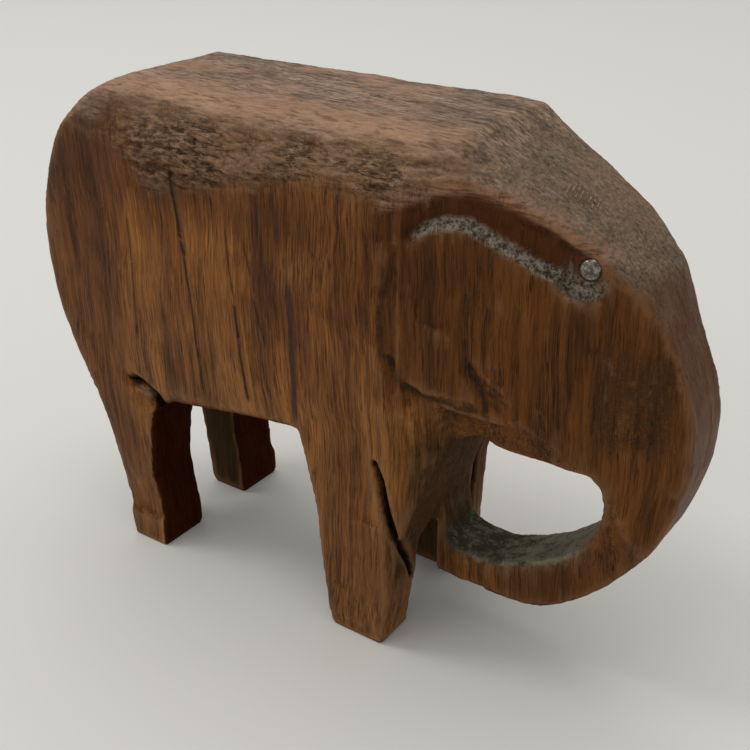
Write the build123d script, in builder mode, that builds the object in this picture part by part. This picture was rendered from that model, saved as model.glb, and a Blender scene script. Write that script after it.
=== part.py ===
from build123d import *
import os

# A hand-carved wooden elephant: one block of hardwood and the two round-headed
# nails that are its eyes. Millimetres, +Z up, the elephant faces +X.
# Origin: middle of its length and width, on the ground under its feet.

# ---- Driving dimensions ----
length = 150.0              # rump to the front of the trunk
height = 112.4              # soles to the flat back
width = 43.0                # flank to flank

flank = width / 2
front_x = length / 2
rump_x = -length / 2

belly_rear_z = 42.5         # underside of the belly behind
belly_front_z = 47.5        # and where it meets the front legs

hind_gap = 15.6             # clear width between the hind legs
hind_crotch_z = 36.0
front_gap = 21.0            # clear width between the front legs
front_crotch_z = 27.0
crotch_radius = 5.0
chest_x = 21.8              # rear end of the trunk's tip, under the chest

trunk_half = 6.2            # half the width of the curled end of the trunk
trunk_low_z = 13.0          # its underside, clear of the ground

shoulder_z = 100.0          # where the flanks start to round over to the back
right_round = 9.0           # how far that rounding runs in from the right flank
left_round = 5.0            # and from the left

eye_x = 54.9
eye_z = 93.3
eye_socket_radius = 4.6
eye_socket_x = 54.0         # the socket's middle lies a little behind the nail
eye_socket_z = 92.2
eye_floor_y = 12.2          # flat floor of the socket

nail_head_radius = 2.1
nail_head_height = 1.6
nail_rim = 0.2              # height of the head's edge
nail_shank_radius = 0.7
nail_depth = 10.0


# ---- The block, carved from the side ----
with BuildPart() as carved_body:

    # Side outline: hind leg, rump, back, brow, trunk, front leg and belly.
    with BuildSketch(Plane.XZ):
        with BuildLine():
            Line((-57.5, 0), (-59.8, 20))
            Spline((-59.8, 20), (-65.8, 40), (-73.1, 55))
            Spline((-73.1, 55), (rump_x, 66), tangents=((-0.3, 1), (0, 1)))
            Spline((rump_x, 66), (-72.6, 88), (-66.3, 101), (-54, height), tangents=((0, 1), (1, 0.6)))
            Polyline((-54, height), (30, height), (35, 109.3), (54.6, 99), (64, 90.3), (70.4, 77.5))
            Spline((70.4, 77.5), (front_x, 61.5), tangents=((0.4, -1), (0, -1)))
            Spline((front_x, 61.5), (72.6, 45), (64.3, 29.3), (52, 17), (43, trunk_low_z),
                   tangents=((0, -1), (-1, -0.25)))
            Polyline((43, trunk_low_z), (19.4, trunk_low_z), (17.5, 0), (4.1, 0), (2.4, 14))
            Polyline((2.4, 14), (1.2, 30), (-3.0, belly_front_z), (-40, belly_rear_z), (-46, 38))
            Polyline((-46, 38), (-48.3, 20), (-46.4, 6), (-46.4, 0), (-57.5, 0))
        make_face()
        # The loop between the trunk and the chest.
        with BuildLine():
            Spline((28.4, 49.5), (34, 51.8), (45, 52.8), (56, 53.2))
            Spline((56, 53.2), (59.4, 51.4), (60.4, 48), (59.8, 43.2))
            Spline((59.8, 43.2), (58.1, 37.4), (52.2, 30.2), (42.6, 23.9), (34, 21.2), (24.5, 22.6))
            Polyline((24.5, 22.6), (23.2, 32), (28.4, 49.5))
        make_face(mode=Mode.SUBTRACT)
    extrude(amount=flank, both=True)

    # The flanks round over to a flat back.
    with BuildSketch(Plane.YZ):
        with BuildLine():
            Polyline((-flank, shoulder_z), (-flank, -1), (flank, -1), (flank, shoulder_z))
            Spline((flank, shoulder_z), (flank - 1.2, 108.5), (flank - left_round, height),
                   tangents=((0, 1), (-1, 0)))
            Line((flank - left_round, height), (right_round - flank, height))
            Spline((right_round - flank, height), (2.2 - flank, 107.4), (-flank, shoulder_z),
                   tangents=((-1, 0), (0, -1)))
        make_face()
    extrude(amount=length, both=True, mode=Mode.INTERSECT)

    # Seen from above, both sides of the head draw in to the trunk.
    with BuildSketch(Plane.XY):
        with BuildLine():
            Polyline((19, flank), (20, 20.8), (32, 18.6), (45, 15.5), (57, 12.7), (63, 10.6), (69, 7.6))
            Polyline((69, 7.6), (front_x + 1, 7.0), (front_x + 1, flank + 1), (19, flank + 1), (19, flank))
        make_face()
        mirror(about=Plane.XZ)
    extrude(amount=height + 1, mode=Mode.SUBTRACT)

    # Seen from the front, the jaw and trunk narrow downwards.
    with BuildSketch(Plane.YZ.offset(28.4)):
        with BuildLine():
            Polyline((20, 62), (14.5, 60), (11.5, 50), (7.6, 36), (trunk_half, 24), (trunk_half, -1))
            Polyline((trunk_half, -1), (flank + 1, -1), (flank + 1, 62), (20, 62))
        make_face()
        mirror(about=Plane.YZ)
    extrude(amount=front_x, mode=Mode.SUBTRACT)

    # Below the chest the sides of the trunk run back to the sloping fronts of the legs.
    with BuildSketch(Plane.XZ.offset(trunk_half)):
        with BuildLine():
            Polyline((17.5, 0), (19.6, trunk_low_z), (21, 25), (23.2, 32), (28.4, 49.5), (28.4, 0), (17.5, 0))
        make_face()
    extrude(amount=flank, mode=Mode.SUBTRACT)
    with BuildSketch(Plane.XZ.offset(-trunk_half)):
        with BuildLine():
            Polyline((17.5, 0), (18, trunk_low_z), (19, 30), (21.5, 40), (28.4, 49.5), (28.4, 0), (17.5, 0))
        make_face()
    extrude(amount=-flank, mode=Mode.SUBTRACT)

    # Gaps between the left and right legs, cut from below.
    with BuildSketch(Plane.YZ.offset(rump_x)):
        with Locations((0, hind_crotch_z / 2)):
            Rectangle(hind_gap, hind_crotch_z)
        fillet(vertices().group_by(Axis.Y)[-1], radius=crotch_radius)
    extrude(amount=-rump_x - 30, mode=Mode.SUBTRACT)

    with BuildSketch(Plane.YZ.offset(-10)):
        with Locations((0, front_crotch_z / 2)):
            Rectangle(front_gap, front_crotch_z)
        fillet(vertices().group_by(Axis.Y)[-1], radius=crotch_radius)
    extrude(amount=10 + chest_x, mode=Mode.SUBTRACT)

    # Eye sockets with flat floors, and a pilot hole for each nail.
    for side in (-1, 1):
        with BuildSketch(Plane.XZ.offset(-side * eye_floor_y)):
            with Locations((eye_socket_x, eye_socket_z)):
                Circle(eye_socket_radius)
        extrude(amount=-side * flank, mode=Mode.SUBTRACT)
        with BuildSketch(Plane.XZ.offset(-side * eye_floor_y)):
            with Locations((eye_x, eye_z)):
                Circle(nail_shank_radius)
        extrude(amount=side * nail_depth, mode=Mode.SUBTRACT)


# ---- The eye nails ----
def build_nail(side):
    """Round-headed nail: a domed head on the socket's floor and a pointed shank."""
    point_length = 3 * nail_shank_radius
    with BuildPart() as nail:
        with BuildSketch(Plane((eye_x, side * eye_floor_y, eye_z), x_dir=(1, 0, 0), z_dir=(0, 0, 1))):
            with BuildLine():
                dome = TangentArc(
                    (0, side * nail_head_height),
                    (nail_head_radius, side * nail_rim),
                    tangent=(1, 0),
                )
                Polyline(
                    dome @ 1,
                    (nail_head_radius, 0),
                    (nail_shank_radius, 0),
                    (nail_shank_radius, -side * (nail_depth - point_length)),
                    (0, -side * nail_depth),
                    (0, side * nail_head_height),
                )
            make_face()
        revolve(axis=Axis((eye_x, 0, eye_z), (0, 1, 0)))
    return nail


right_eye_nail = build_nail(-1)
left_eye_nail = build_nail(1)


# ---- Files ----
os.makedirs("parts", exist_ok=True)
carved_body.part.label = "carved_body"
export_step(carved_body.part, "parts/carved_body.step")
right_eye_nail.part.label = "right_eye_nail"
export_step(right_eye_nail.part, "parts/right_eye_nail.step")
left_eye_nail.part.label = "left_eye_nail"
export_step(left_eye_nail.part, "parts/left_eye_nail.step")

for piece in (carved_body, right_eye_nail, left_eye_nail):
    box = piece.part.bounding_box()
    print(piece.part.label, "solids", len(piece.part.solids()), box.min, box.max)
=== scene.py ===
import math

import bmesh
import bpy
import numpy as np
from mathutils import Matrix, Quaternion, Vector
from mathutils.bvhtree import BVHTree


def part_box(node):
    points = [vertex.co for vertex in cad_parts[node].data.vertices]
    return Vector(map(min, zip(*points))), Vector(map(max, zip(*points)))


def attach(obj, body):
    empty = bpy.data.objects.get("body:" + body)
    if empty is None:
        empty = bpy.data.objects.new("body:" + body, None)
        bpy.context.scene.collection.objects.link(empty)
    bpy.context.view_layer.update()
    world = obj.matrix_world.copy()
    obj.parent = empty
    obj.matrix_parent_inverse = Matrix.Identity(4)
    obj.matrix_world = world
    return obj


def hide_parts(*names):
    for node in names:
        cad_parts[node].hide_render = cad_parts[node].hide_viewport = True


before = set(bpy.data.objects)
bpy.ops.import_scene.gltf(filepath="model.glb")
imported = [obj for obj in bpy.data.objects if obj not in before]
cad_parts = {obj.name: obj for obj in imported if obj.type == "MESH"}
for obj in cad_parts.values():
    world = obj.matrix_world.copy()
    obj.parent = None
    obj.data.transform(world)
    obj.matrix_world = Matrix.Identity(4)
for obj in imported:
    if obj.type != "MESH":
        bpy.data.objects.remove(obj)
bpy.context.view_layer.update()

# The carving is worked in millimetres and brought down to metres when it is finished.
mm = 0.001
scene = bpy.context.scene


# ---- Node graphs, drawn as Python expressions ----

class Wire:
    def __init__(self, graph, socket):
        self.graph = graph
        self.socket = socket

    def __add__(self, other):
        return self.graph.maths("ADD", self, other)

    def __radd__(self, other):
        return self.graph.maths("ADD", other, self)

    def __sub__(self, other):
        return self.graph.maths("SUBTRACT", self, other)

    def __rsub__(self, other):
        return self.graph.maths("SUBTRACT", other, self)

    def __mul__(self, other):
        return self.graph.maths("MULTIPLY", self, other)

    def __rmul__(self, other):
        return self.graph.maths("MULTIPLY", other, self)

    def __truediv__(self, other):
        return self.graph.maths("DIVIDE", self, other)

    def __rtruediv__(self, other):
        return self.graph.maths("DIVIDE", other, self)

    def __abs__(self):
        return self.graph.maths("ABSOLUTE", self)

    def most(self, other):
        return self.graph.maths("MAXIMUM", self, other)

    def least(self, other):
        return self.graph.maths("MINIMUM", self, other)

    def rise(self, low, high, start=0.0, end=1.0):
        # an eased step from start to end while the value goes from low to high
        return self.graph.add("ShaderNodeMapRange", {"interpolation_type": "SMOOTHSTEP"},
                              {0: self, 1: low, 2: high, 3: start, 4: end})

    def stretched(self, x, y, z):
        return self.graph.add("ShaderNodeVectorMath", {"operation": "MULTIPLY"}, {0: self, 1: (x, y, z)})

    def axis(self, index):
        return self.graph.add("ShaderNodeSeparateXYZ", {}, {0: self}, index)


class Graph:
    def __init__(self, tree):
        self.tree = tree
        tree.nodes.clear()

    def add(self, kind, settings=None, sockets=None, output=0):
        node = self.tree.nodes.new(kind)
        for name, value in (settings or {}).items():
            if name == "stops":
                self.setStops(node.color_ramp, value)
            else:
                setattr(node, name, value)
        for key, value in (sockets or {}).items():
            if isinstance(value, Wire):
                self.tree.links.new(value.socket, node.inputs[key])
            else:
                node.inputs[key].default_value = value
        return Wire(self, node.outputs[output]) if node.outputs else node

    def setStops(self, ramp, stops):
        while len(ramp.elements) < len(stops):
            ramp.elements.new(1.0)
        for element, (place, colour) in zip(ramp.elements, stops):
            element.position = place
            element.color = (*colour, 1.0)

    def maths(self, operation, first, second=0.0):
        return self.add("ShaderNodeMath", {"operation": operation}, {0: first, 1: second})

    def noise(self, vector, scale=1.0, detail=2.0, roughness=0.5, distortion=0.0):
        return self.add("ShaderNodeTexNoise", {}, {"Vector": vector, "Scale": scale, "Detail": detail,
                                                   "Roughness": roughness, "Distortion": distortion})

    def mix(self, factor, first, second, blend="MIX"):
        def colour(value):
            return value if isinstance(value, Wire) else (*value, 1.0)
        return self.add("ShaderNodeMix", {"data_type": "RGBA", "blend_type": blend},
                        {0: factor, 6: colour(first), 7: colour(second)}, 2)

    def ramp(self, value, stops):
        return self.add("ShaderNodeValToRGB", {"stops": stops}, {0: value})

    def mask(self, name):
        return self.add("ShaderNodeAttribute", {"attribute_name": name}, {}, 2)


def newMaterial(name):
    material = bpy.data.materials.new(name)
    material.use_nodes = True
    return material, Graph(material.node_tree)


# ---- Mesh helpers ----

def copyNode(node, name):
    # the CAD solid's loose triangles, joined up and in millimetres
    work = bmesh.new()
    work.from_mesh(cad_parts[node].data)
    bmesh.ops.remove_doubles(work, verts=work.verts, dist=1e-6)
    bmesh.ops.scale(work, verts=work.verts, vec=(1 / mm, 1 / mm, 1 / mm))
    bmesh.ops.recalc_face_normals(work, faces=work.faces)
    mesh = bpy.data.meshes.new(name)
    work.to_mesh(mesh)
    work.free()
    piece = bpy.data.objects.new(name, mesh)
    scene.collection.objects.link(piece)
    return piece


def bake(piece):
    # turn the piece's modifiers into plain mesh
    evaluated = piece.evaluated_get(bpy.context.evaluated_depsgraph_get())
    mesh = bpy.data.meshes.new_from_object(evaluated)
    piece.modifiers.clear()
    old = piece.data
    piece.data = mesh
    bpy.data.meshes.remove(old)


def voxelRemesh(piece, size):
    remesh = piece.modifiers.new("Voxels", "REMESH")
    remesh.mode = "VOXEL"
    remesh.voxel_size = size
    bake(piece)


def readPoints(mesh):
    points = np.empty(len(mesh.vertices) * 3)
    mesh.vertices.foreach_get("co", points)
    return points.reshape(-1, 3)


def writePoints(mesh, points):
    mesh.vertices.foreach_set("co", points.ravel())
    mesh.update()


def readNormals(mesh):
    normals = np.empty(len(mesh.vertices) * 3)
    mesh.vertices.foreach_get("normal", normals)
    return normals.reshape(-1, 3)


def readEdges(mesh):
    edges = np.empty(len(mesh.edges) * 2, dtype=np.int64)
    mesh.edges.foreach_get("vertices", edges)
    return edges.reshape(-1, 2)


def neighbourMean(values, edges):
    total = np.zeros_like(values)
    count = np.bincount(edges.ravel(), minlength=len(values)).astype(float)
    for column in range(values.shape[1]):
        for here, there in ((0, 1), (1, 0)):
            total[:, column] += np.bincount(edges[:, here], weights=values[edges[:, there], column],
                                            minlength=len(values))
    return total / np.maximum(count, 1)[:, None]


def relax(points, edges, rounds, weight=1.0):
    weight = np.asarray(weight)
    if weight.ndim:
        weight = weight[:, None]
    for _ in range(rounds):
        points = points + (neighbourMean(points, edges) - points) * 0.6 * weight
    return points


def unit(vectors):
    return vectors / np.maximum(np.linalg.norm(vectors, axis=1, keepdims=True), 1e-9)


def ease(low, high, value):
    t = np.clip((value - low) / (high - low), 0, 1)
    return t * t * (3 - 2 * t)


def follow(values, table, column=1):
    # read a given table of (place, value, ...) rows in between its rows
    rows = np.array(table, dtype=float)
    return np.interp(values, rows[:, 0], rows[:, column])


def unevenness(points, size, seed, octaves=2):
    # smooth random hills between -1 and 1, size millimetres apart along each axis
    total = np.zeros(len(points))
    share = 0.0
    for octave in range(octaves):
        place = points / np.asarray(size, dtype=float) * 2 ** octave + 31.7 * octave
        corner = np.floor(place).astype(np.int64)
        t = place - corner
        t = t * t * (3 - 2 * t)
        value = np.zeros(len(points))
        for step in np.ndindex(2, 2, 2):
            cell = corner + np.array(step)
            mixed = cell[:, 0] * 73856093 ^ cell[:, 1] * 19349663 ^ cell[:, 2] * 83492791
            mixed = mixed ^ (seed + octave) * 2654435761
            mixed = (mixed ^ (mixed >> 13)) * 1274126177
            height = ((mixed ^ (mixed >> 16)) & 0xFFFF) / 32767.5 - 1
            value += height * np.prod(np.where(step, t, 1 - t), axis=1)
        total += value * 0.5 ** octave
        share += 0.5 ** octave
    return total / share


def lineGap(points, path):
    # distance of each point from a path of straight runs, and how far along the path that is, 0 to 1
    path = np.array(path, dtype=float)
    lengths = np.linalg.norm(np.diff(path, axis=0), axis=1)
    starts = np.concatenate([[0], np.cumsum(lengths)])
    best = np.full(len(points), 1e9)
    along = np.zeros(len(points))
    for index, length in enumerate(lengths):
        run = path[index + 1] - path[index]
        t = np.clip((points - path[index]) @ run / length ** 2, 0, 1)
        gap = np.linalg.norm(points - path[index] - t[:, None] * run, axis=1)
        nearer = gap < best
        best = np.where(nearer, gap, best)
        along = np.where(nearer, (starts[index] + t * length) / starts[-1], along)
    return best, along


# ---- The carved body ----

bodyLooks = {
    "roughVoxel": 0.6,          # first remesh, for the knife work
    "fineVoxel": 0.47,          # second remesh, for the grain
    "edgeRounds": 1,            # rounding of the sawn edges
    "facets": 520,              # knife facets over the whole block
    "facetStrength": 0.4,
    "coveDepth": 2.2,           # scoop between the brow and the ear
    "earStep": 0.8,             # depth of the cut behind the ear
    "underEar": 2.4,            # the hollow below the ear
    "splitDepth": 3.0,          # the split in the right front leg
    "fibreRelief": 0.12,        # height of the raised fibres on the flanks
    "fibreWidth": 1.3,
    "fibreLength": 22.0,
    "tornRelief": 0.42,         # the crumbled strip along the shoulder
    "endGrainRelief": 0.22,     # the back and the brow
    "kerfPlace": (18.6, 15.5, 23.0),        # the saw slot in the left front leg
    "kerfSize": (8.0, 1.5, 22.0),
    "kerfLean": 5.0,            # degrees
    "seed": 7,
    "triangles": 196000,
}

# Lines on the right side of the elephant, as (x, z).
browRidge = [(18.4, 100.4), (21, 101.4), (28.3, 104.2), (35.1, 105.1), (41.8, 103.2), (48.5, 100.4),
             (53, 97.6), (57.4, 95.6), (59.7, 92.4), (63.4, 89.4), (66.1, 86), (70, 78.3)]
earGroove = [(22.1, 93.3), (23.5, 95.3), (25, 96.9), (27.1, 98.2), (29.8, 99.1), (34, 99.2), (37.7, 97.5),
             (42.2, 95.3), (46.8, 93.1), (50.5, 91.4)]
earBack = [(17.9, 70.2), (17.6, 74.2), (17.4, 77.9), (18.0, 81.3), (19.3, 85.9), (20.8, 91.6), (22.1, 93.3)]
earBottom = [(19.2, 70.2), (22, 65.3), (26, 63.1), (29.5, 63), (32.9, 62.3), (36.2, 62.6), (39, 61.3)]
bandLow = [(-49.8, 99.3), (-37.8, 91.9), (-25, 95.3), (-11.7, 98.7), (0.4, 101.7), (11.6, 101.8),
           (19.3, 101.2), (24, 102.4), (30, 104.4), (36, 105.4)]
bandHigh = [(-50, 105.2), (-38, 106.9), (-13, 106.7), (-1, 107.6), (10, 108.2), (21, 108.2), (29, 108.0),
            (36, 107.0)]
bellyNotch = [(-52.7, 44.9), (-49, 44.2), (-45.8, 42.4), (-44.6, 40.4)]

# The split in the right front leg, as (x, y, z) down its side and round on to its front.
legSplit = [(16.6, -21.5, 46.4), (18, -21.5, 41.5), (19.5, -21.5, 35), (20.9, -20.6, 29.2),
            (20.4, -14.6, 20.2), (19.8, -12.5, 14.9)]

# Nicks under the ear: path of (x, z), width, depth.
earNicks = [
    ([(34.4, 85.0), (34.2, 76.0), (34.9, 70.0)], 0.55, 0.7),
    ([(35.2, 71.5), (37.8, 66.0), (38.4, 62.5)], 0.65, 1.3),
    ([(36.6, 69.6), (41.5, 66.6)], 0.45, 0.8),
    ([(37.0, 67.6), (42.0, 65.0)], 0.45, 0.8),
    ([(37.6, 65.4), (41.4, 63.6)], 0.45, 0.7),
    ([(43.1, 84.5), (43.4, 73.0)], 0.45, 0.35),
]
eyePlace = (54.0, 92.2)
socketSize = 4.6
socketFloor = 12.2
socketClear = 7.1           # how far round the eye the floor is kept clear
facetReach = 0.45           # the most that a knife facet moves a point

# How far each edge of the brow is carved down below the sawn block: (x, drop).
rightBrowDrop = [(12, 0), (21, 2), (28, 3.3), (35, 4.2), (42, 2.6), (48, 1.9), (53, 2.5), (59.7, 2.2),
                 (63.4, 1.4), (66, 0.8), (71, 0.4)]
leftBrowDrop = [(12, 0), (21, 1.2), (35, 1.8), (60, 1.3), (71, 0.4)]


def castRays(tree, starts, direction):
    # where rays first meet the sawn block; a ray that misses gives its own start
    found = np.array(starts, dtype=float)
    aim = Vector(direction)
    for index, start in enumerate(starts):
        place = tree.ray_cast(Vector(start), aim)[0]
        if place is not None:
            found[index] = place
    return found


def carveTop(points, tree):
    # the brow slopes away to both sides, and its middle stays a little crowned
    outside = 200.0
    starts = points.copy()
    starts[:, 2] = outside
    top = castRays(tree, starts, (0, 0, -1))[:, 2]
    plan = np.linspace(-70, 74, 145)
    planStarts = np.stack([plan, np.full_like(plan, -outside), np.full_like(plan, 77.0)], axis=1)
    halfWidth = np.abs(castRays(tree, planStarts, (0, 1, 0))[:, 1])
    x, y = points[:, 0], points[:, 1]
    inFromEdge = np.interp(x, plan, halfWidth) - np.abs(y)
    run = np.where(y < 0, 9.0 - 4.5 * ease(28, 42, x), 3.0)
    drop = np.where(y < 0, follow(x, rightBrowDrop), follow(x, leftBrowDrop))
    t = np.clip(1 - inFromEdge / run, 0, 1)
    limit = top - drop * t ** 2
    near = (points[:, 2] > 75) & (top < outside) & (x > 10)
    points[:, 2] = np.where(near, np.minimum(points[:, 2], limit), points[:, 2])
    return points


def sideDepth(x, z, right):
    # how deep each side is cut, in from the sawn flank
    flat = np.stack([x, z], axis=1)
    wobble = unevenness(np.stack([x, z, np.full_like(x, 40.0 if right else 90.0)], axis=1), 3.0, 11)
    ridge = follow(x, browRidge)
    groove = follow(x, earGroove)
    tall = np.maximum(ridge - groove, 1.0)
    down = (ridge - z) / tall
    ends = ease(13, 29, x) * (1 - ease(55, 61, x))
    cove = ease(-0.02, 0.42, down + 0.05 * wobble) * (1 - ease(0.95, 0.95 + 1.7 / tall, down)) * ends
    depth = bodyLooks["coveDepth"] * cove

    # the ear: a flat panel, set in a little along its back cut and its top
    behind = x - follow(z, [(high, along) for along, high in earBack])
    panel = ease(0, 0.5, behind) * ease(66, 71, z) * (1 - ease(93, 99, z))
    panelFade = 1 - ease(34, 52, x)
    depth += panel * panelFade * (0.15 + bodyLooks["earStep"] * np.exp(-np.maximum(behind, 0) / 2.6))
    gap, along = lineGap(flat, earBack)
    depth += 0.6 * np.exp(-(gap / 0.65) ** 2) * (1 - ease(0.85, 1.0, along))

    # the hollow below the ear runs out on to the leg
    low = follow(x, earBottom) + 0.5 * wobble
    under = ease(0.0, 0.9, low - z) * np.exp(-np.maximum(low - z, 0) / 8.0)
    depth += bodyLooks["underEar"] * under * ease(17.5, 24, x) * (1 - ease(27, 31, x))
    gap, along = lineGap(flat, earBottom)
    depth += 1.2 * np.exp(-((gap + 0.4 * wobble) / 0.8) ** 2) * (1 - ease(0.85, 1.0, along))
    depth += 1.0 * np.exp(-(np.hypot(x - 20.6, z - 69.0) / 1.2) ** 2)

    # nicks where the ear meets the jaw, and the upright crack above them
    for path, wide, deep in earNicks:
        gap = lineGap(flat, path)[0]
        depth += deep * np.exp(-((gap + 0.15 * wobble) / wide) ** 2)

    # the cut along the belly where the hind leg begins, and the leg's set-back face below it
    gap, along = lineGap(flat, bellyNotch)
    depth += 3.0 * np.exp(-(np.maximum(gap - 0.7, 0) / 0.9) ** 2) * ease(-0.1, 0.3, along)
    wedge = ease(-53.5, -47, x - (44.5 - z) * 0.25) * ease(34, 43, z) * (1 - ease(43.2, 44.6, z))
    depth += 1.3 * wedge * (1 - ease(-45, -43, x))

    # ledges round the feet
    hindFoot = (x < -38) & (z < 30)
    depth += np.where(hindFoot, 1.2 * ease(6.4, 7.8, z + 0.5 * wobble) * (1 - ease(9, 26, z)), 0)
    foreFoot = (x > -2) & (x < 24) & (z < 20)
    depth += np.where(foreFoot, 0.7 * (1 - ease(3.0, 5.0, z + 0.5 * wobble + 0.12 * x)), 0)

    # chips in the cheek
    cheek = ease(56, 60, x) * (1 - ease(69, 73, x)) * ease(57, 62, z) * (1 - ease(76, 82, z))
    chips = unevenness(np.stack([x * 1.6, z * 0.55, np.full_like(x, 5.0)], axis=1), 4.0, 23)
    depth += 0.55 * cheek * ease(0.05, 0.35, chips)

    # a narrow worn facet along the belly's edge
    belly = follow(x, [(-45, 42.2), (-40, 42.5), (-3, 47.5)])
    along = ease(-46, -42, x) * (1 - ease(-6, -3, x))
    depth += along * 0.9 * np.clip(1 - (z - belly) / 2.2, 0, 1) * (z > belly - 2)
    return depth


def carveSides(points, tree):
    outside = 100.0
    for right in (True, False):
        sign = -1 if right else 1
        own = points[:, 1] * sign > 0
        some = points[own]
        starts = some.copy()
        starts[:, 1] = sign * outside
        wall = np.abs(castRays(tree, starts, (0, -sign, 0))[:, 1])
        limit = wall - sideDepth(some[:, 0], some[:, 2], right)
        # round the eye nothing is cut below the flat floor of the socket
        socketGap = np.hypot(some[:, 0] - eyePlace[0], some[:, 2] - eyePlace[1])
        floor = np.where(socketGap < socketClear, np.minimum(wall, socketFloor), 0)
        limit = np.maximum(limit, floor)
        clear = wall < outside
        reach = np.where(clear, np.minimum(np.abs(some[:, 1]), limit), np.abs(some[:, 1]))
        points[own, 1] = sign * reach
    return points


def knifeFacets(points, normals, count, strength, seed):
    # each patch of the surface is pressed towards its own plane, as a knife leaves it
    chance = np.random.default_rng(seed)
    stretch = np.array([1.0, 1.0, 0.5])
    own = np.empty(len(points), dtype=np.int64)
    facing = unit(normals)
    picks = chance.choice(len(points), count, replace=False)
    centres = points[picks]
    keys = np.concatenate([centres * stretch, facing[picks] * 16.0], axis=1)
    for start in range(0, len(points), 20000):
        part = slice(start, start + 20000)
        here = np.concatenate([points[part] * stretch, facing[part] * 16.0], axis=1)
        gaps = (here ** 2).sum(1)[:, None] - 2 * here @ keys.T + (keys ** 2).sum(1)
        own[part] = gaps.argmin(1)
    total = np.maximum(np.bincount(own, minlength=count), 1)[:, None]

    def patchSum(values):
        return np.stack([np.bincount(own, weights=column, minlength=count) for column in values.T], axis=1)

    middle = patchSum(points) / total
    plane = unit(patchSum(facing))
    height = ((points - middle[own]) * plane[own]).sum(1)
    agree = ease(0.80, 0.95, (facing * plane[own]).sum(1))
    return points - plane[own] * (np.clip(height, -facetReach, facetReach) * strength * agree)[:, None]


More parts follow.
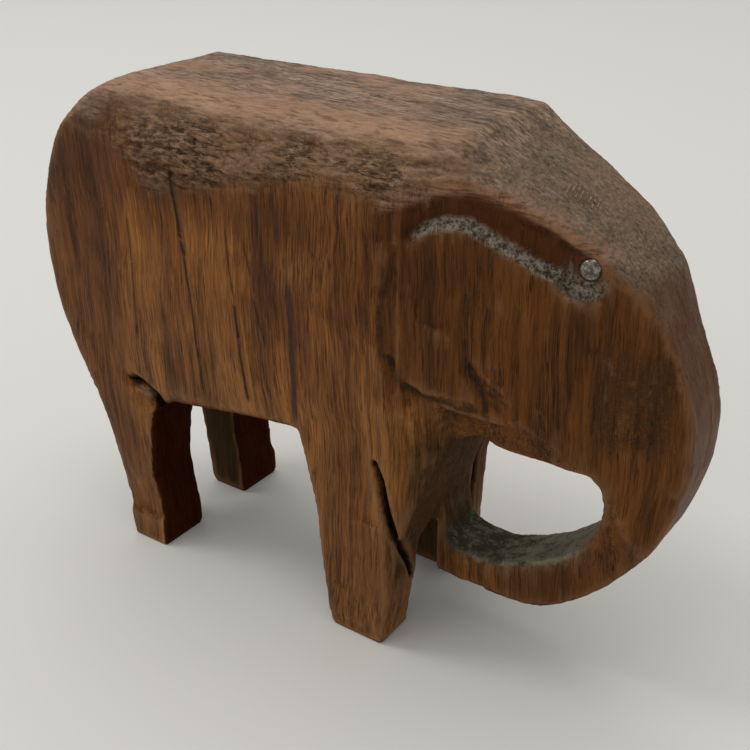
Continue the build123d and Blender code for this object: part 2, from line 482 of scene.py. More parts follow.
def bodyMasks(points, normals, edges, split):
    # what varies over the wood, as one value for each point
    x, y, z = points.T
    flat = np.stack([x, z], axis=1)
    wobble = unevenness(points, 2.2, 3)
    coarse = unevenness(points, 7.0, 4)
    broad = unit(relax(normals, edges, 14))
    upward = broad[:, 2]
    right = ease(4, 9, -y)

    top = ease(0.28, 0.72, upward + 0.12 * coarse + 0.05 * wobble)
    fromLow = z - follow(x, bandLow) - 1.6 * coarse - 0.8 * wobble
    fromHigh = z - follow(x, bandHigh) - 1.6 * coarse
    torn = ease(-2.5, 3.5, fromLow) * (1 - ease(-1.5, 4.0, fromHigh)) * right
    torn *= ease(-58, -34, x + 4 * coarse + 1.5 * wobble) * (1 - ease(26, 36, x + 2 * coarse))

    # the lip along the brow ridge: pink layered wood, paler there as a painted highlight
    lip = np.exp(-(lineGap(flat, browRidge[:8])[0] / 1.3) ** 2) * right

    below = follow(x, earGroove) - 0.8 - z
    dust = 1 - ease(0.6, 1.6, np.abs(below) + 0.5 * wobble)
    dust *= ease(22.0, 25, x + wobble) * (1 - ease(49, 52, x))
    socket = np.hypot(x - eyePlace[0], z - eyePlace[1])
    inSocket = (1 - ease(socketSize - 1.0, socketSize + 0.7, socket + 0.6 * wobble)) * 0.8
    inSocket *= 1 - ease(-0.5, 2.5, z - eyePlace[1] + 0.25 * (x - eyePlace[0]) + 0.5 * wobble)
    dust = np.maximum(dust, inSocket)
    dust = np.where(np.abs(y) > 9, dust, 0)
    trunkTop = ease(-0.05, 0.6, upward + 0.12 * wobble) * (1 - ease(30, 37, z)) * ease(20, 24, x)

    # the scoop between the brow ridge and the ear groove gets painted shade
    ridge = follow(x, browRidge)
    down = (ridge - z) / np.maximum(ridge - follow(x, earGroove), 1)
    cove = ease(0.02, 0.16, down) * (1 - ease(0.85, 1.0, down)) * right
    cove *= ease(17, 24, x) * (1 - ease(55, 61, x))
    top = top * (1 - cove)
    dust = dust * (1 - cove * 0.9)
    legs = 1 - ease(42, 47, z + 0.4 * coarse)
    close = unit(relax(normals, edges, 4))
    # the hind legs' front faces and the undersides (under) are given old maroon stain and painted shade
    shadedFrontFace = ease(0.40, 0.65, close[:, 0]) * legs * (1 - ease(2, 6, x))
    # the legs' inner faces, between the legs, are given dark stain and painted shade
    innerFace = ease(0.35, 0.65, -close[:, 1] * np.sign(y)) * legs * (1 - ease(24, 28, x))
    under = ease(0.3, 0.7, -upward) * (1 - ease(46, 52, z))
    splitGap = np.min([lineGap(points, path)[0] for path in split], axis=0)
    backGap, along = lineGap(flat, earBack)
    scored = (1 - ease(0.25, 0.75, backGap + 0.2 * wobble)) * (1 - ease(0.9, 1.0, along)) * 0.8
    for path, wide, deep in earNicks:
        nickGap = lineGap(flat, path)[0]
        nick = 1 - ease(wide * 0.5, wide * 1.3, nickGap + 0.2 * wobble)
        scored = np.maximum(scored, nick * min(1.0, deep))
    notchGap, notchAlong = lineGap(flat, bellyNotch)
    notch = (1 - ease(0.2, 1.1, notchGap - 1.0 * notchAlong + 0.4 * wobble)) * ease(8, 12, -y)
    # painted shade under the jaw
    jaw = np.exp(-((x - 27) / 6) ** 2 - ((z - 54) / 7) ** 2)
    scored = np.maximum(scored, 0.45 * jaw)
    bottomGap = lineGap(flat, earBottom)[0]
    scored = np.maximum(scored, (1 - ease(0.3, 1.3, bottomGap + 0.5 * wobble)) * 0.8) * right
    # painted shadow on the walls of the saw slot
    kerfX, kerfY, kerfZ = bodyLooks["kerfPlace"]
    inKerf = (np.abs(y - kerfY) < 1.0) & (np.abs(z - kerfZ) < 11.5) & (np.abs(normals[:, 0]) < 0.75)
    inKerf &= (x > kerfX - 5.6) & (x < kerfX + 1.9)
    scored = np.maximum(scored, inKerf)
    # the front of the chest under the head and between the forelegs gets painted shade
    chest = ease(16, 21, x) * (1 - ease(31, 34, x)) * ease(0.25, 0.6, broad[:, 0])
    chest *= (1 - ease(50, 54, z)) * ease(12, 20, z)
    # lift finds the convex edges, which are worn paler, and the hollows, which get painted shade
    soft = relax(points, edges, 10)
    lift = ((points - soft) * unit(normals)).sum(1)
    worn = ease(0.03, 0.22, lift)
    hollow = ease(0.03, 0.25, -lift)
    cheek = ease(56, 60, x) * (1 - ease(69, 73, x)) * ease(57, 62, z) * (1 - ease(76, 82, z))
    cheek *= ease(5, 7, np.abs(y))
    return {
        "topFace": top,
        "torn": torn,
        "lip": lip,
        "dust": dust,
        "trunkTop": trunkTop,
        "worn": worn,
        "hollow": hollow,
        "cheek": cheek,
        "cove": cove,
        # old maroon stain together with painted shade on the front faces and undersides
        "oldStain": np.maximum(shadedFrontFace, under * 0.8),
        "innerFace": innerFace,
        "scored": scored,
        "chest": chest,
        "split": np.maximum(1 - ease(0.5, 1.1, splitGap + 0.25 * wobble), notch),
    }


def onSurface(mesh, path):
    # a path laid on the nearest skin of the mesh in short steps, and the way in from it
    work = bmesh.new()
    work.from_mesh(mesh)
    tree = BVHTree.FromBMesh(work)
    work.free()
    spots = []
    inward = []
    for first, second in zip(path, path[1:]):
        for share in np.linspace(0, 1, 6):
            spot, normal = tree.find_nearest(Vector(first).lerp(Vector(second), share))[:2]
            if not spots or (spot - spots[-1]).length > 0.1:
                spots.append(spot)
                inward.append(-normal)
    return np.array(spots), np.array(inward)


def storeMasks(mesh, masks):
    for name, values in masks.items():
        layer = mesh.attributes.get(name) or mesh.attributes.new(name, "FLOAT", "POINT")
        layer.data.foreach_set("value", np.ascontiguousarray(values, dtype=np.float32))


def makeSkinTree():
    # raised fibres on the flanks, crumbs on the torn strip, stipple on the end grain
    tree = bpy.data.node_groups.new("woodSkin", "GeometryNodeTree")
    graph = Graph(tree)
    face = tree.interface
    face.new_socket("Geometry", in_out="INPUT", socket_type="NodeSocketGeometry")
    for name in ("Fibre Relief", "Fibre Width", "Fibre Length", "Torn Relief", "End Grain Relief", "Seed"):
        face.new_socket(name, in_out="INPUT", socket_type="NodeSocketFloat")
    face.new_socket("Wood", in_out="INPUT", socket_type="NodeSocketMaterial")
    face.new_socket("Geometry", in_out="OUTPUT", socket_type="NodeSocketGeometry")
    source = tree.nodes.new("NodeGroupInput")

    def given(name):
        return Wire(graph, source.outputs[name])

    def attribute(name):
        return graph.add("GeometryNodeInputNamedAttribute", {"data_type": "FLOAT"}, {"Name": name})

    def hills(vector, scale, detail=2.0, roughness=0.5):
        return graph.add("ShaderNodeTexNoise", {"noise_dimensions": "4D"}, {
            "Vector": vector, "W": given("Seed"), "Scale": scale, "Detail": detail,
            "Roughness": roughness}) - 0.5

    place = graph.add("GeometryNodeInputPosition")
    normal = graph.add("GeometryNodeInputNormal")
    top, torn, lip = attribute("topFace"), attribute("torn"), attribute("lip")
    cheek = attribute("cheek")
    alongFibre = given("Fibre Width") / given("Fibre Length")
    squeeze = graph.add("ShaderNodeCombineXYZ", {}, {0: 1.0, 1: 1.0, 2: alongFibre})
    fibreSpace = graph.add("ShaderNodeVectorMath", {"operation": "MULTIPLY"}, {0: place, 1: squeeze})
    fibres = hills(fibreSpace, 0.9 / given("Fibre Width"), 2.0) * given("Fibre Relief") * 3.0
    fibres = fibres * (1 - top) * (1 - torn)
    stipple = hills(place.stretched(0.55, 1.0, 1.0), 0.95, 3.0, 0.6) * given("End Grain Relief") * 2.2 * top
    crumbs = hills(place.stretched(0.45, 1.0, 1.0), 0.7, 3.0, 0.65) * given("Torn Relief") * 2.0 * torn
    flakes = (hills(place.stretched(0.16, 0.5, 0.8), 0.8, 2.0) + 0.5).rise(0.46, 0.54) - 0.5
    crumbs = crumbs + flakes * given("Torn Relief") * 1.3 * torn
    lips = hills(place.stretched(0.12, 0.5, 1.4), 1.0, 1.0) * 1.1 * lip
    waves = hills(place.stretched(1, 1, 0.6), 0.09, 1.0) * 0.7
    chips = hills(place.stretched(1, 1, 0.5), 0.8, 3.0, 0.6) * 0.9 * cheek
    foot = place.axis(2).rise(0.3, 2.5)
    height = (fibres + stipple + crumbs + lips + waves + chips) * foot
    offset = graph.add("ShaderNodeVectorMath", {"operation": "SCALE"}, {0: normal, "Scale": height})
    moved = graph.add("GeometryNodeSetPosition", {}, {"Geometry": given("Geometry"), "Offset": offset})
    real = graph.add("GeometryNodeRealizeInstances", {}, {"Geometry": moved})
    dressed = graph.add("GeometryNodeSetMaterial", {}, {"Geometry": real, "Material": given("Wood")})
    graph.add("NodeGroupOutput", {}, {"Geometry": dressed})
    return tree


def giveInputs(modifier, tree, values):
    for item in tree.interface.items_tree:
        if item.in_out == "INPUT" and item.name in values:
            modifier[item.identifier] = values[item.name]


def cutKerf(block):
    # the saw slot in the front face of the left front leg
    slot = bmesh.new()
    bmesh.ops.create_cube(slot, size=1.0)
    lean = Matrix.Rotation(math.radians(bodyLooks["kerfLean"]), 4, "Y")
    place = Matrix.Translation(bodyLooks["kerfPlace"]) @ lean
    size = Matrix.Diagonal((*bodyLooks["kerfSize"], 1.0))
    bmesh.ops.transform(slot, matrix=place @ size, verts=slot.verts)
    mesh = bpy.data.meshes.new("kerf")
    slot.to_mesh(mesh)
    slot.free()
    cutter = bpy.data.objects.new("kerf", mesh)
    scene.collection.objects.link(cutter)
    saw = block.modifiers.new("Saw", "BOOLEAN")
    saw.operation = "DIFFERENCE"
    saw.solver = "MANIFOLD"
    saw.object = cutter
    bake(block)
    bpy.data.objects.remove(cutter)


def makeBody(material):
    block = copyNode("carved_body", "carvedElephant")
    work = bmesh.new()
    work.from_mesh(block.data)
    tree = BVHTree.FromBMesh(work)
    work.free()
    voxelRemesh(block, bodyLooks["roughVoxel"])
    points = readPoints(block.data)
    edges = readEdges(block.data)
    print("rough block", len(points), "points")

    points = carveTop(points, tree)
    points = carveSides(points, tree)
    points = relax(points, edges, bodyLooks["edgeRounds"], 1 - 0.8 * (1 - ease(40, 50, points[:, 2])))
    # the front of the leg runs round into the chest
    corner = ease(20, 26, points[:, 0]) * (1 - ease(34, 40, points[:, 0]))
    corner *= ease(7, 11, np.abs(points[:, 1]))
    corner *= ease(36, 44, points[:, 2]) * (1 - ease(59.0, 61.5, points[:, 2]))
    points = relax(points, edges, 90, corner)
    writePoints(block.data, points)
    cutKerf(block)
    voxelRemesh(block, bodyLooks["roughVoxel"])

    points = readPoints(block.data)
    edges = readEdges(block.data)
    normals = relax(readNormals(block.data), edges, 2)
    cut = knifeFacets(points, normals, bodyLooks["facets"], bodyLooks["facetStrength"], bodyLooks["seed"])
    # the knife stays out of the eye sockets, whose flat floor is cleared once more
    socketGap = np.hypot(points[:, 0] - eyePlace[0], points[:, 2] - eyePlace[1])
    points += (cut - points) * ease(socketSize + 0.5, socketSize + 2.0, socketGap)[:, None]
    again = socketGap < socketClear
    points[again] = carveSides(points[again], tree)
    writePoints(block.data, points)
    print("knife work done")

    voxelRemesh(block, bodyLooks["fineVoxel"])
    points = readPoints(block.data)
    edges = readEdges(block.data)
    normals = readNormals(block.data)
    splitPath, inward = onSurface(block.data, legSplit)
    gap, along = lineGap(points, splitPath)
    wide = 0.55 * (1 - 0.5 * ease(0.75, 1.0, along)) * ease(-0.05, 0.12, along) + 0.25
    points -= normals * (bodyLooks["splitDepth"] * np.exp(-(gap / wide) ** 2) * (1 - 0.5 * along))[:, None]
    points = relax(points, edges, 1, 0.6 - 0.35 * (points[:, 2] < 46))
    points[:, 2] = np.where(points[:, 2] < 0.35, 0.0, points[:, 2])     # the soles stay flat
    writePoints(block.data, points)
    # the split and its floor, as sheets of paths going in
    split = [splitPath + inward * deep for deep in np.arange(0, bodyLooks["splitDepth"] + 1, 0.8)]
    storeMasks(block.data, bodyMasks(points, readNormals(block.data), edges, split))
    print("fine block", len(points), "points")

    skin = block.modifiers.new("Skin", "NODES")
    skinTree = makeSkinTree()
    skin.node_group = skinTree
    giveInputs(skin, skinTree, {
        "Fibre Relief": bodyLooks["fibreRelief"],
        "Fibre Width": bodyLooks["fibreWidth"],
        "Fibre Length": bodyLooks["fibreLength"],
        "Torn Relief": bodyLooks["tornRelief"],
        "End Grain Relief": bodyLooks["endGrainRelief"],
        "Seed": float(bodyLooks["seed"]),
        "Wood": material,
    })
    bake(block)
    faces = sum(len(face.vertices) - 2 for face in block.data.polygons)
    thin = block.modifiers.new("Thin", "DECIMATE")
    thin.ratio = min(1.0, bodyLooks["triangles"] / faces)
    thin.use_collapse_triangulate = True
    bake(block)
    points = readPoints(block.data)
    storeMasks(block.data, bodyMasks(points, readNormals(block.data), readEdges(block.data), split))
    writePoints(block.data, points * mm)
    block.data.materials.clear()
    block.data.materials.append(material)
    block.data.shade_smooth()
    print("body", len(block.data.polygons), "triangles")
    return block


# ---- The eye nails ----

nailLooks = {
    "headHeight": 1.6,
    "shankRadius": 0.68,
    "length": 10.0,
    "segments": 64,
    "dent": 0.07,
    "tarnishDark": (0.060, 0.050, 0.036),
    "tarnishBrown": (0.16, 0.142, 0.112),
    "tarnishPale": (0.42, 0.39, 0.33),
}


def makeNail(node, name, material, seed):
    # a domed head with a worn rim and a few dents, on a shank with a point
    low, high = (np.array(corner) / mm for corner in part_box(node))
    side = -1 if low[1] + high[1] < 0 else 1
    head = (high[0] - low[0]) / 2 - 0.02
    tall = nailLooks["headHeight"]
    shank = nailLooks["shankRadius"]
    outer = high[1] if side > 0 else -low[1]
    domeSteps = 14
    domeAngle = math.radians(78)
    profile = [(0.0, 0.0)]
    for step in range(1, domeSteps + 1):
        angle = step / domeSteps * domeAngle
        profile.append((head * math.sin(angle) / math.sin(domeAngle),
                        -(tall - 0.25) * (1 - math.cos(angle)) / (1 - math.cos(domeAngle))))
    profile += [(head + 0.02, -(tall - 0.17)), (head - 0.02, -(tall - 0.07)), (head - 0.12, -tall + 0.01)]
    profile += [(shank + 0.15, -tall + 0.01), (shank, -tall - 0.12)]
    for step in range(1, 6):
        profile.append((shank, -tall - 0.12 - step * 1.5))
    profile.append((0.0, -tall - nailLooks["length"] + 0.05))
    middle = np.array([(low[0] + high[0]) / 2, side * outer, (low[2] + high[2]) / 2])
    count = nailLooks["segments"]
    work = bmesh.new()
    rings = []
    for radius, depth in profile:
        if radius == 0:
            rings.append([work.verts.new(middle + (0, side * depth, 0))])
            continue
        ring = []
        for index in range(count):
            angle = 2 * math.pi * index / count
            around = (radius * math.cos(angle), side * depth, radius * math.sin(angle))
            ring.append(work.verts.new(middle + around))
        rings.append(ring)
    for first, second in zip(rings, rings[1:]):
        for index in range(count):
            after = (index + 1) % count
            corners = [first[index % len(first)], first[after % len(first)],
                       second[after % len(second)], second[index % len(second)]]
            corners = list(dict.fromkeys(corners))
            work.faces.new(corners)
    bmesh.ops.recalc_face_normals(work, faces=work.faces)
    mesh = bpy.data.meshes.new(name)
    work.to_mesh(mesh)
    work.free()
    points = readPoints(mesh)
    dents = unevenness(points, 0.9, seed) * nailLooks["dent"]
    domed = side * points[:, 1] > outer - tall + 0.3
    points[:, 1] -= side * np.where(domed, np.maximum(dents, 0), 0)
    writePoints(mesh, points * mm)
    mesh.materials.append(material)
    mesh.shade_smooth()
    nail = bpy.data.objects.new(name, mesh)
    scene.collection.objects.link(nail)
    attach(nail, "root")
    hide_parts(node)
    print(name, len(mesh.polygons), "faces")
    return nail


# ---- Materials ----

woodLooks = {
    "deepBrown": (0.044, 0.0120, 0.0022),
    "redBrown": (0.122, 0.034, 0.0052),
    "warmBrown": (0.236, 0.080, 0.0125),
    "golden": (0.43, 0.190, 0.042),
    "lowDark": (0.072, 0.023, 0.0045),
    "lowPale": (0.38, 0.150, 0.036),
    "headDark": (0.036, 0.0095, 0.0014),
    "headBrown": (0.132, 0.039, 0.0050),
    # painted shade in the scoop under the brow
    "coveShadeBrown": (0.068, 0.0150, 0.0016),
    "topDark": (0.072, 0.049, 0.037),
    "topBrown": (0.210, 0.136, 0.096),
    "topPale": (0.48, 0.338, 0.245),
    "topWorn": (0.44, 0.252, 0.158),
    "tornDark": (0.046, 0.024, 0.013),
    "tornBrown": (0.250, 0.150, 0.090),
    "tornPale": (0.50, 0.335, 0.225),
    # pink wood of the brow lip, paler as a painted highlight on the ridge
    "lipPinkAndHighlight": (0.33, 0.185, 0.130),
    "dustGrey": (0.31, 0.27, 0.215),
    "dustDark": (0.030, 0.021, 0.013),
    "moss": (0.048, 0.047, 0.032),
    "mossPale": (0.215, 0.215, 0.150),
    # old maroon stain, deepened as painted shade on the front faces and undersides
    "maroonStainAndShade": (0.023, 0.0026, 0.0005),
    # dark stain, deepened as painted shade on the legs' inner faces
    "oliveStainAndShade": (0.030, 0.020, 0.008),
    "crackDark": (0.007, 0.003, 0.001),
    "purple": (0.030, 0.010, 0.015),
    "browDark": (0.044, 0.031, 0.020),
    "browPale": (0.225, 0.165, 0.105),
    "cheekDirt": (0.030, 0.020, 0.012),
    # painted shade on the chest, dark and pale with the grain
    "chestShadeDark": (0.018, 0.009, 0.004),
    "chestShadePale": (0.080, 0.043, 0.018),
    # painted shade for the hollows
    "hollowShadeDark": (0.016, 0.007, 0.003),
    # dark scored cuts, also used as painted shade under the jaw and in the saw slot
    "scoreAndShadeDark": (0.012, 0.007, 0.004),
    "wornPale": (0.28, 0.145, 0.070),
    "cloudShade": (0.42, 0.36, 0.30),       # the shades multiply the wood under them
    "rumpShade": (0.60, 0.54, 0.48),
    "bandShade": (0.58, 0.50, 0.44),
    "lowTornShade": (0.50, 0.40, 0.33),
    "dirtShade": (0.32, 0.26, 0.22),
    "specular": 0.22,
    "sheen": (1.0, 0.74, 0.48),
}

maskNames = ("topFace", "torn", "lip", "dust", "trunkTop", "worn", "hollow", "cheek", "cove", "oldStain",
             "innerFace", "scored", "chest", "split")

# Drying cracks in the right flank: top (x, z), bottom (x, z), width, and how deep the colour goes.
flankCracks = [
    ((-32.8, 97.8), (-31.0, 80.0), 0.55, 0.9),
    ((-31.0, 80.0), (-28.8, 49.0), 0.28, 0.8),
    ((-19.3, 88.1), (-17.9, 72.0), 0.20, 0.6),
    ((-17.9, 72.0), (-16.0, 50.5), 0.42, 0.9),
    ((-12.7, 74.3), (-10.2, 65.2), 0.28, 0.6),
    ((-46.9, 85.0), (-47.8, 58.0), 0.25, 0.5),
    ((-14.3, 86.7), (-13.2, 79.5), 0.22, 0.5),
]


def flankGrain(g, spot, bent, cloud, cove):
    # long grain on the flanks, with clouds of darker and lighter wood under it, and painted shade in the
    # scoop under the brow
    look = woodLooks
    x, z = spot.axis(0), spot.axis(2)
    broad = g.noise(bent.stretched(0.15, 0.15, 0.018), 1.0, 3.0, 0.6)
    streak = g.noise(bent.stretched(0.80, 0.80, 0.030), 1.0, 4.0, 0.65)
    fine = g.noise(bent.stretched(3.2, 3.2, 0.15), 1.0, 4.0, 0.7)
    vessels = g.noise(bent.stretched(3.6, 3.6, 0.20), 1.0, 2.0, 0.6).rise(0.60, 0.70)
    hairs = abs(g.noise(bent.stretched(0.9, 0.9, 0.022), 1.0, 3.0, 0.6) - 0.5).rise(0.020, 0.004)
    hairs = hairs * g.noise(spot.stretched(0.25, 0.25, 0.08), 1.0, 2.0).rise(0.48, 0.60)
    tone = broad * 0.38 + streak * 0.38 + fine * 0.46 - 0.11
    flank = g.ramp(tone, [(0.38, look["deepBrown"]), (0.47, look["redBrown"]),
                          (0.565, look["warmBrown"]), (0.71, look["golden"])])
    mottled = g.mix(fine.rise(0.35, 0.65), look["deepBrown"], look["warmBrown"])
    flank = g.mix(cloud.rise(0.42, 0.62, 0.0, 0.5), flank, mottled)
    lower = g.mix(tone.rise(0.36, 0.64), look["lowDark"], look["lowPale"])
    flank = g.mix(z.rise(85.0, 50.0, 0.0, 0.75) * x.rise(-64, -48), flank, lower)
    glow = z.rise(76.0, 84.0) * z.rise(91.0, 85.0) * x.rise(-10.0, -1.0) * x.rise(9.0, 2.0)
    flank = g.mix(glow * fine.rise(0.35, 0.60) * 0.6, flank, look["golden"])
    shade = g.noise(spot.stretched(1.0, 1.0, 0.45), 0.055, 2.0, 0.5)
    flank = g.mix(shade.rise(0.46, 0.34, 0.0, 0.18), flank, look["lowPale"])
    flank = g.mix(shade.rise(0.46, 0.62, 0.0, 0.50), flank, look["cloudShade"], "MULTIPLY")
    rump = x.rise(-42, -56, 0.0, 0.75) * z.rise(30, 45, 0.9, 1.0)
    flank = g.mix(rump, flank, look["rumpShade"], "MULTIPLY")
    underBand = z.rise(84, 93) * x.rise(12, -5)
    flank = g.mix(underBand * 0.75, flank, look["bandShade"], "MULTIPLY")
    head = (x.rise(15, 20) * z.rise(57, 66) * 0.85).most(x.rise(25, 45, 0.0, 0.85))
    flank = g.mix(head, flank, g.mix(tone.rise(0.32, 0.70), look["headDark"], look["headBrown"]))
    flank = g.mix(vessels * 0.35, flank, look["crackDark"])
    flank = g.mix(hairs * 0.65, flank, look["crackDark"])
    # painted shade in the scoop under the brow
    flank = g.mix(cove * 0.85, flank, look["coveShadeBrown"])
    return flank, fine, streak, vessels, hairs


def endGrain(g, spot, grit):
    # end grain on the back, the brow and the soles
    look = woodLooks
    x, y = spot.axis(0), spot.axis(1)
    drift = g.noise(spot.stretched(0.055, 0.28, 0.28), 1.0, 4.0, 0.6)
    dashes = g.noise(spot.stretched(0.26, 1.3, 1.3), 1.0, 4.0, 0.65)
    pores = g.noise(spot.stretched(0.7, 2.0, 2.0), 1.0, 3.0, 0.65)
    patch = g.noise(spot.stretched(0.7, 1.2, 1.2), 0.07, 3.0, 0.6)
    speck = g.noise(spot, 1.3, 5.0, 0.8)
    crownTone = drift * 0.35 + dashes * 0.45 + pores * 0.35 - 0.075
    crown = g.ramp(crownTone, [(0.40, look["topDark"]), (0.50, look["topBrown"]), (0.66, look["topPale"])])
    shoulder = y.rise(-3.0, -14.0) * y.rise(-19.5, -16.0) * x.rise(32, 22)
    crown = g.mix((patch.rise(0.46, 0.62) * 0.45).most(shoulder * 0.6), crown, look["topWorn"])
    crown = g.mix(dashes.rise(0.48, 0.36, 0.0, 0.55), crown, look["topDark"])
    brow = g.mix(speck.rise(0.40, 0.62), look["browDark"], look["browPale"])
    crown = g.mix(x.rise(28, 44) * 0.65, crown, brow)

    # short parallel saw marks across the brow, with a painted highlight on their ridges and painted shade
    # between them
    sawPlace = x * 0.97 + y * 0.25 + grit * 0.35
    sawSpot = x.rise(45.0, 46.5) * x.rise(52.5, 50.5) * y.rise(-6.5, -4.5) * y.rise(1.0, -1.0)
    sawMarks = g.maths("SINE", sawPlace * 8.5).rise(-0.3, 0.9) * sawSpot * speck.rise(0.38, 0.52)
    crown = g.mix(sawSpot * (1 - sawMarks) * 0.45, crown, look["topDark"])
    crown = g.mix(sawMarks * 0.45, crown, look["topPale"])
    return crown, dashes, pores, sawMarks


def tornWood(g, spot, cloud, torn, lip, colour):
    # the crumbled strip along the shoulder, and the lips along the brow, whose pink wood is made paler as a
    # painted highlight on the ridge
    look = woodLooks
    x, z = spot.axis(0), spot.axis(2)
    crumb = g.noise(spot.stretched(0.42, 1.1, 1.1), 1.0, 4.0, 0.7)
    tears = abs(g.noise(spot.stretched(0.13, 0.75, 0.75), 1.0, 3.0, 0.6) - 0.5).rise(0.030, 0.006)
    tears = tears * torn * cloud.rise(0.44, 0.56) * 0.8
    flesh = g.ramp(crumb, [(0.30, look["tornDark"]), (0.50, look["tornBrown"]), (0.72, look["tornPale"])])
    flesh = g.mix(z.rise(104, 95) * x.rise(8, -12) * 0.6, flesh, look["lowTornShade"], "MULTIPLY")
    dirty = x.rise(-60, -50) * x.rise(-24, -38) * z.rise(92, 97) * z.rise(109, 103)
    flesh = g.mix(dirty * crumb.rise(0.62, 0.42) * 0.8, flesh, look["dirtShade"], "MULTIPLY")
    colour = g.mix(torn * 0.8, colour, flesh)
    layers = g.noise(spot.stretched(0.10, 0.6, 1.6), 1.0, 3.0, 0.6)
    return g.mix(lip * layers.rise(0.36, 0.56) * 0.75, colour, look["lipPinkAndHighlight"]), crumb, tears


def dirtStainAndShade(g, spot, masks, grains, colour):
    # dirt on the cheek, painted shade in the hollows, on the chest, under the jaw and in the saw slot, bare
    # edges, and old stain with painted shade where hands don't reach
    look = woodLooks
    fine, crumb, grit = grains
    colour = g.mix(masks["cheek"] * grit.rise(0.40, 0.56) * 0.6, colour, look["cheekDirt"])
    # dark stain and painted shade on the inner faces between the legs
    colour = g.mix(masks["innerFace"] * 0.85, colour, look["oliveStainAndShade"])
    # old maroon stain and painted shade on the front faces and undersides
    colour = g.mix(masks["oldStain"] * 0.93, colour, look["maroonStainAndShade"])
    # painted shade on the chest under the head
    chestShadeColour = g.mix(fine.rise(0.3, 0.7), look["chestShadeDark"], look["chestShadePale"])
    colour = g.mix(masks["chest"] * 0.85, colour, chestShadeColour)
    # painted shade in the hollows
    colour = g.mix(masks["hollow"] * (1 - masks["torn"] * 0.45) * 0.55, colour, look["hollowShadeDark"])
    # dark scored cuts and nicks, and painted shade under the jaw and in the saw slot
    colour = g.mix(masks["scored"] * crumb.rise(0.30, 0.52) * 0.85, colour, look["scoreAndShadeDark"])
    colour = g.mix(masks["worn"] * (1 - masks["oldStain"] * 0.9) * 0.40, colour, look["wornPale"])
    mossy = g.noise(spot, 0.45, 4.0, 0.7) * 0.7 + grit * 0.3 + spot.axis(0).rise(32, 50, -0.04, 0.08)
    greenish = g.mix(mossy.rise(0.42, 0.60), look["moss"], look["mossPale"])
    colour = g.mix(masks["trunkTop"] * 0.9, colour, greenish)
    crust = g.noise(spot, 0.9, 5.0, 0.8)
    dusty = g.mix(crust.rise(0.40, 0.60), look["dustDark"], look["dustGrey"])
    colour = g.mix(masks["dust"] * 0.9, colour, dusty)
    return g.mix(masks["split"] * 0.92, colour, look["crackDark"])


def dryingCracks(g, spot, tears, colour):
    # cracks with darkened edges and the purple streak, on the right flank only
    look = woodLooks
    x, y, z = spot.axis(0), spot.axis(1), spot.axis(2)
    onRight = y.rise(-19.5, -21.0)
    shake = (g.noise(spot.stretched(0.1, 0.1, 0.12), 1.0, 3.0, 0.55) - 0.5) * 1.3
    ragged = g.noise(spot.stretched(0.4, 0.4, 0.55), 1.0, 3.0, 0.65)
    cracks = None
    rims = None
    for (topX, topZ), (endX, endZ), width, strength in flankCracks:
        lean = (topX - endX) / (topZ - endZ)
        away = abs(x - (z - endZ) * lean - endX + shake)
        inside = z.rise(endZ - 1.0, endZ + 1.0) * z.rise(topZ + 1.0, topZ - 1.0)
        line = away.rise(width, width * 0.4) * inside * strength * ragged.rise(0.32, 0.46)
        rim = away.rise(width * 3.5, width) * inside * strength
        cracks = line if cracks is None else cracks.most(line)
        rims = rim if rims is None else rims.most(rim)
    cracks = cracks * onRight
    colour = g.mix(rims * onRight * 0.5, colour, look["deepBrown"])
    streakGap = abs(x + 3.4 + shake * 0.5)
    stain = streakGap.rise(1.1, 0.3) * z.rise(46, 52) * z.rise(83, 78) * onRight
    colour = g.mix(stain * 0.8, colour, look["purple"])
    return g.mix(cracks.most(tears * 0.85), colour, look["crackDark"]), cracks


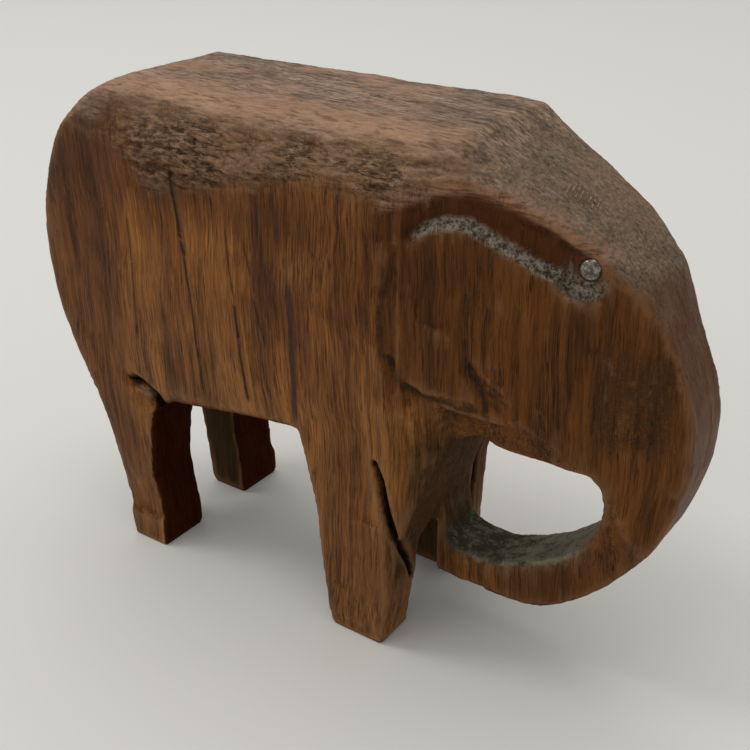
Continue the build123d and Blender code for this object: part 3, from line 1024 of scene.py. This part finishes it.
def makeWood():
    material, g = newMaterial("oldHardwood")
    spot = g.add("ShaderNodeTexCoord", {}, {}, 3).stretched(1 / mm, 1 / mm, 1 / mm)
    masks = {name: g.mask(name) for name in maskNames}
    top, torn, dust, cheek = masks["topFace"], masks["torn"], masks["dust"], masks["cheek"]
    inner, oldStain = masks["innerFace"], masks["oldStain"]
    split, chest = masks["split"], masks["chest"]
    bend = (g.noise(spot.stretched(0.5, 0.5, 1.0), 0.03, 2.0) - 0.5) * 6.0
    bent = g.add("ShaderNodeCombineXYZ", {}, {0: spot.axis(0) + bend, 1: spot.axis(1) + bend * 0.4,
                                              2: spot.axis(2)})
    grit = g.noise(spot, 2.0, 4.0, 0.7)
    cloud = g.noise(spot.stretched(1.0, 1.0, 0.6), 0.06, 3.0, 0.6)
    flank, fine, streak, vessels, hairs = flankGrain(g, spot, bent, cloud, masks["cove"])
    crown, dashes, pores, sawMarks = endGrain(g, spot, grit)
    colour, crumb, tears = tornWood(g, spot, cloud, torn, masks["lip"], g.mix(top, flank, crown))
    colour = dirtStainAndShade(g, spot, masks, (fine, crumb, grit), colour)
    colour, cracks = dryingCracks(g, spot, tears, colour)

    # heights in millimetres
    relief = (fine * 0.14 + streak * 0.12 - vessels * 0.10 - hairs * 0.2) * (1 - top)
    relief = relief + (dashes * 0.18 + pores * 0.18) * top + sawMarks * 0.35 - cracks * 0.5 - tears * 0.5
    relief = relief + grit * 0.35 * torn.most(dust).most(cheek).most(split) + grit * 0.05
    bump = g.add("ShaderNodeBump", {}, {"Strength": 0.9, "Distance": mm, "Height": relief})
    gloss = 0.48 + top * 0.16 + torn * 0.15 + dust * 0.3 + masks["trunkTop"] * 0.2 + (grit - 0.5) * 0.25
    gloss = gloss + cheek * 0.1 + masks["hollow"] * 0.2 + vessels * 0.1
    gloss = gloss + inner * 0.25 + chest * 0.3 + oldStain * 0.15
    polished = g.add("ShaderNodeBsdfPrincipled", {}, {
        "Base Color": colour, "Roughness": gloss.least(0.95), "Normal": bump,
        "Specular IOR Level": woodLooks["specular"], "Specular Tint": (*woodLooks["sheen"], 1.0)})
    dull = g.add("ShaderNodeBsdfPrincipled", {}, {
        "Base Color": colour, "Roughness": 0.9, "Normal": bump, "Specular IOR Level": 0.02})
    dullness = oldStain.most(inner * 0.7).most(split).most(chest * 0.6).least(1.0)
    finish = g.add("ShaderNodeMixShader", {}, {0: dullness, 1: polished, 2: dull})
    g.add("ShaderNodeOutputMaterial", {}, {"Surface": finish})
    return material


def makeNailMetal():
    material, g = newMaterial("tarnishedNail")
    spot = g.add("ShaderNodeTexCoord", {}, {}, 3).stretched(1 / mm, 1 / mm, 1 / mm)
    tarnish = g.noise(spot, 1.1, 4.0, 0.6)
    pits = g.noise(spot, 5.0, 2.0, 0.6)
    colour = g.ramp(tarnish, [(0.34, nailLooks["tarnishDark"]), (0.50, nailLooks["tarnishBrown"]),
                              (0.68, nailLooks["tarnishPale"])])
    relief = tarnish * 0.12 + pits * 0.05
    bump = g.add("ShaderNodeBump", {}, {"Strength": 0.7, "Distance": mm, "Height": relief})
    finish = g.add("ShaderNodeBsdfPrincipled", {}, {
        "Base Color": colour, "Metallic": 1.0, "Normal": bump,
        "Roughness": tarnish.rise(0.3, 0.7, 0.40, 0.20)})
    g.add("ShaderNodeOutputMaterial", {}, {"Surface": finish})
    return material


def makeFloorMaterial():
    material, g = newMaterial("paleFloor")
    finish = g.add("ShaderNodeBsdfPrincipled", {}, {"Base Color": (*stageLooks["floorColour"], 1.0),
                                                    "Roughness": 0.8})
    g.add("ShaderNodeOutputMaterial", {}, {"Surface": finish})
    return material


# ---- Building ----

wood = makeWood()
elephant = makeBody(wood)
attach(elephant, "root")
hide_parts("carved_body")

nailMetal = makeNailMetal()
makeNail("right_eye_nail", "rightEyeNail", nailMetal, 5)
makeNail("left_eye_nail", "leftEyeNail", nailMetal, 8)


# ---- Floor, light and camera ----

stageLooks = {
    "floorSize": 4.0,
    "floorColour": (0.80, 0.80, 0.775),
    # name: place, size, power, colour
    "lamps": {
        "key": ((-0.35, 0.15, 2.1), 2.4, 18.0, (1.0, 0.97, 0.93)),
        "fill": ((-0.9, -1.6, 0.9), 1.0, 2.4, (0.95, 0.97, 1.0)),
        "glint": ((-0.67, -0.31, 1.07), 0.3, 2.0, (1.0, 0.98, 0.95)),
    },
    "lampAim": (0, 0, 0.05),
    "sky": (0.84, 0.84, 0.81),
    "skyStrength": 0.54,
}
cameraView = {
    "azimuth": 35.39,
    "elevation": 27.45,
    "roll": -0.46,
    "distance": 242.7,
    "aim": (2.2, -0.6, 53.0),
    "lens": 54.01,
}


def makeFloor():
    half = stageLooks["floorSize"] / 2
    mesh = bpy.data.meshes.new("floor")
    corners = [(-half, -half, 0), (half, -half, 0), (half, half, 0), (-half, half, 0)]
    mesh.from_pydata(corners, [], [(0, 1, 2, 3)])
    mesh.materials.append(makeFloorMaterial())
    floor = bpy.data.objects.new("floor", mesh)
    scene.collection.objects.link(floor)


def makeLight(name, place, size, power, colour):
    lamp = bpy.data.lights.new(name, "AREA")
    lamp.size = size
    lamp.energy = power
    lamp.color = colour
    light = bpy.data.objects.new(name, lamp)
    light.location = place
    aim = Vector(stageLooks["lampAim"]) - Vector(place)
    light.rotation_euler = aim.to_track_quat("-Z", "Y").to_euler()
    scene.collection.objects.link(light)


def makeSky():
    world = bpy.data.worlds.new("paleRoom")
    world.use_nodes = True
    background = world.node_tree.nodes["Background"]
    background.inputs["Color"].default_value = (*stageLooks["sky"], 1.0)
    background.inputs["Strength"].default_value = stageLooks["skyStrength"]
    scene.world = world
    scene.view_settings.view_transform = "Standard"


def makeCamera():
    azimuth = math.radians(cameraView["azimuth"])
    elevation = math.radians(cameraView["elevation"])
    toCamera = Vector((math.sin(azimuth) * math.cos(elevation), -math.cos(azimuth) * math.cos(elevation),
                       math.sin(elevation)))
    aim = Vector(cameraView["aim"]) * mm
    lens = bpy.data.cameras.new("camera")
    lens.lens = cameraView["lens"]
    lens.clip_start = 0.01
    camera = bpy.data.objects.new("camera", lens)
    camera.location = aim + toCamera * cameraView["distance"] * mm
    turn = (-toCamera).to_track_quat("-Z", "Y") @ Quaternion((0, 0, 1), math.radians(cameraView["roll"]))
    camera.rotation_euler = turn.to_euler()
    scene.collection.objects.link(camera)
    scene.camera = camera


makeFloor()
for lampName, lampSettings in stageLooks["lamps"].items():
    makeLight(lampName, *lampSettings)
makeSky()
makeCamera()
print("floor, light and camera placed")
